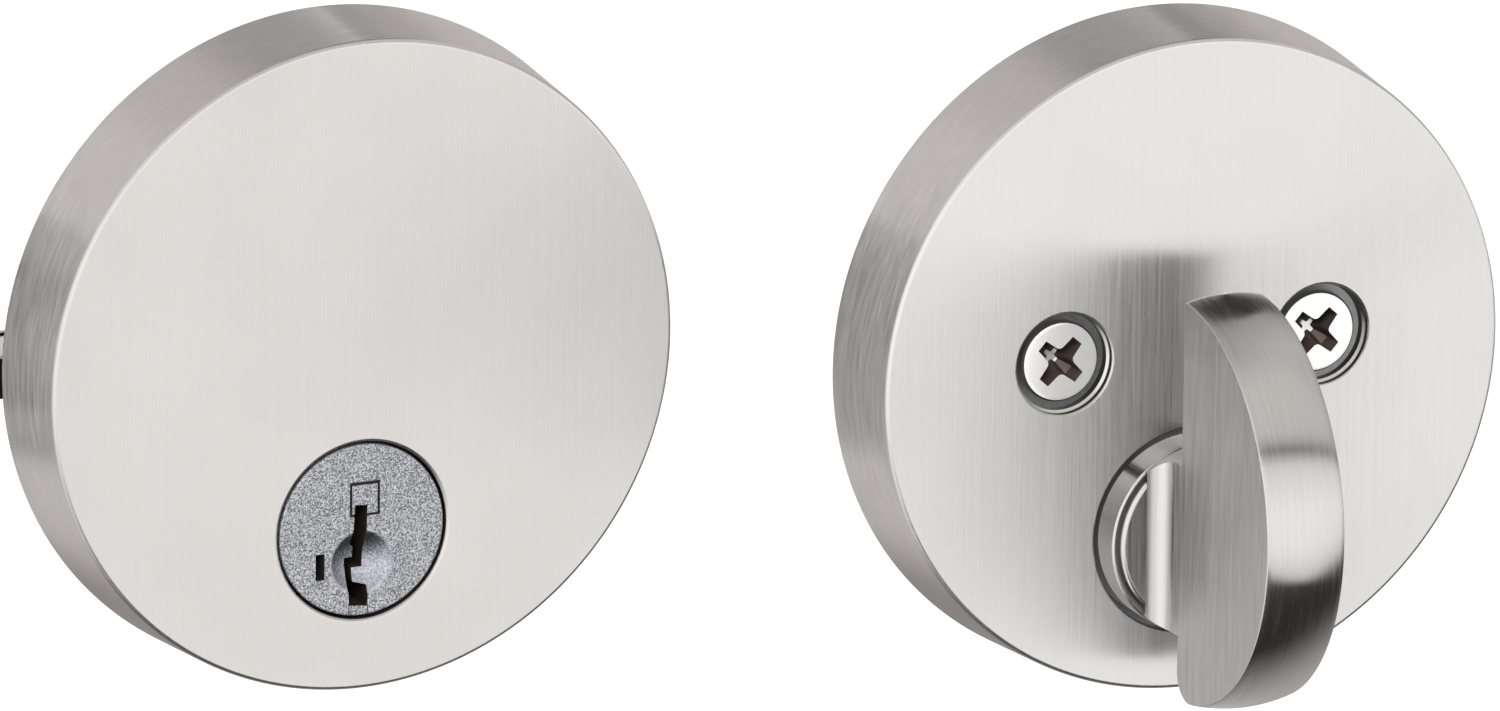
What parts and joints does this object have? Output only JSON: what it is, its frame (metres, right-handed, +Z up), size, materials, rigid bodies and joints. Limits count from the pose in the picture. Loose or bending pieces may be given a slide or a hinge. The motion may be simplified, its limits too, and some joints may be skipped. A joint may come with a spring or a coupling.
{
  "type": "deadbolt door lock",
  "caption": "Round low-profile single-cylinder deadbolt: keyed exterior half, thumbturn interior half, and bolt unit with faceplate, all joined by one geared drive.",
  "frame": {"origin": "centre of the door's cross bore on the door's exterior face, which is the centre of the exterior trim's back plane", "axes": "+X across the door away from its edge and towards the interior half, +Y into the door along the bore, +Z up; both trim faces look towards -Y"},
  "size_m": [0.1704, 0.1191, 0.0682],
  "materials": {
    "satin_nickel": "satin nickel plate, brushed up and down",
    "plug_nickel": "unpolished nickel-plated brass, finely granular",
    "bright_screw": "bright nickel-plated steel",
    "zinc_casting": "bare zinc die casting",
    "plain_steel": "zinc-plated stamped and turned steel",
    "brass": "turned brass",
    "black_rubber": "black rubber"
  },
  "bodies": {
    "lock_body": {"exterior_rose": "satin_nickel", "exterior_chassis": "zinc_casting", "exterior_gasket": "black_rubber", "gear_cover": "plain_steel", "mounting_post_left": "zinc_casting", "mounting_post_right": "zinc_casting", "post_ring_left": "plain_steel", "post_ring_right": "plain_steel", "cylinder_body": "zinc_casting", "cylinder_screw_left": "plain_steel", "cylinder_screw_right": "plain_steel", "latch_tube": "plain_steel", "case_plate_front": "plain_steel", "case_plate_back": "plain_steel", "case_rivet_1": "plain_steel", "case_rivet_2": "plain_steel", "case_rivet_3": "plain_steel", "faceplate": "satin_nickel", "backplate": "plain_steel", "face_screw_lower": "satin_nickel", "face_screw_upper": "satin_nickel", "interior_rose": "satin_nickel", "interior_plate": "zinc_casting", "interior_cover": "plain_steel", "cover_screw_left": "plain_steel", "cover_screw_right": "plain_steel", "mounting_screw_left": "bright_screw", "mounting_screw_right": "bright_screw"},
    "thumbturn": {"thumbturn": "satin_nickel", "thumb_gear": "plain_steel", "thumb_clip": "plain_steel"},
    "drive_hub": {"drive_hub": "plain_steel"},
    "plug": {"cylinder_plug": "plug_nickel", "plug_gear": "plain_steel", "plug_clip": "plain_steel", "sidebar": "brass", "key_pin_1": "brass", "key_pin_2": "brass", "key_pin_3": "brass", "key_pin_4": "brass", "key_pin_5": "brass", "wafer_1": "plain_steel", "wafer_2": "plain_steel", "wafer_3": "plain_steel", "wafer_4": "plain_steel", "wafer_5": "plain_steel"},
    "tailpiece": {"tail_gear": "plain_steel", "tailpiece": "plain_steel", "cam": "zinc_casting", "drive_pin": "plain_steel"},
    "bolt": {"bolt": "satin_nickel", "bolt_pin": "plain_steel", "bolt_tail": "plain_steel", "tail_rivet": "plain_steel"}
  },
  "joints": [
    {"name": "thumbturn_turn", "type": "hinge", "parent": "lock_body", "child": "thumbturn", "pos_m": [0.0763, -0.0419, -0.017], "axis": [0, 1, 0], "range_deg": [0, 90]},
    {"name": "drive_hub_turn", "type": "hinge", "parent": "lock_body", "child": "drive_hub", "pos_m": [0.0763, -0.0348, 0], "axis": [0, 1, 0], "range_deg": [-90, 0]},
    {"name": "tailpiece_turn", "type": "hinge", "parent": "lock_body", "child": "tailpiece", "pos_m": [0, 0.0091, 0], "axis": [0, 1, 0], "range_deg": [0, 90]},
    {"name": "plug_turn", "type": "hinge", "parent": "lock_body", "child": "plug", "pos_m": [0, -0.0018, -0.017], "axis": [0, 1, 0], "range_deg": [-90, 0]},
    {"name": "bolt_throw", "type": "slide", "parent": "lock_body", "child": "bolt", "axis": [-1, 0, 0], "range_m": [0, 0.0254]}
  ],
  "couplings": [
    {"joint": "drive_hub_turn", "follows": "thumbturn_turn", "ratio": -1},
    {"joint": "tailpiece_turn", "follows": "thumbturn_turn", "ratio": 1},
    {"joint": "plug_turn", "follows": "thumbturn_turn", "ratio": -1},
    {"joint": "bolt_throw", "follows": "thumbturn_turn", "m_per_rad": 0.01617}
  ]
}
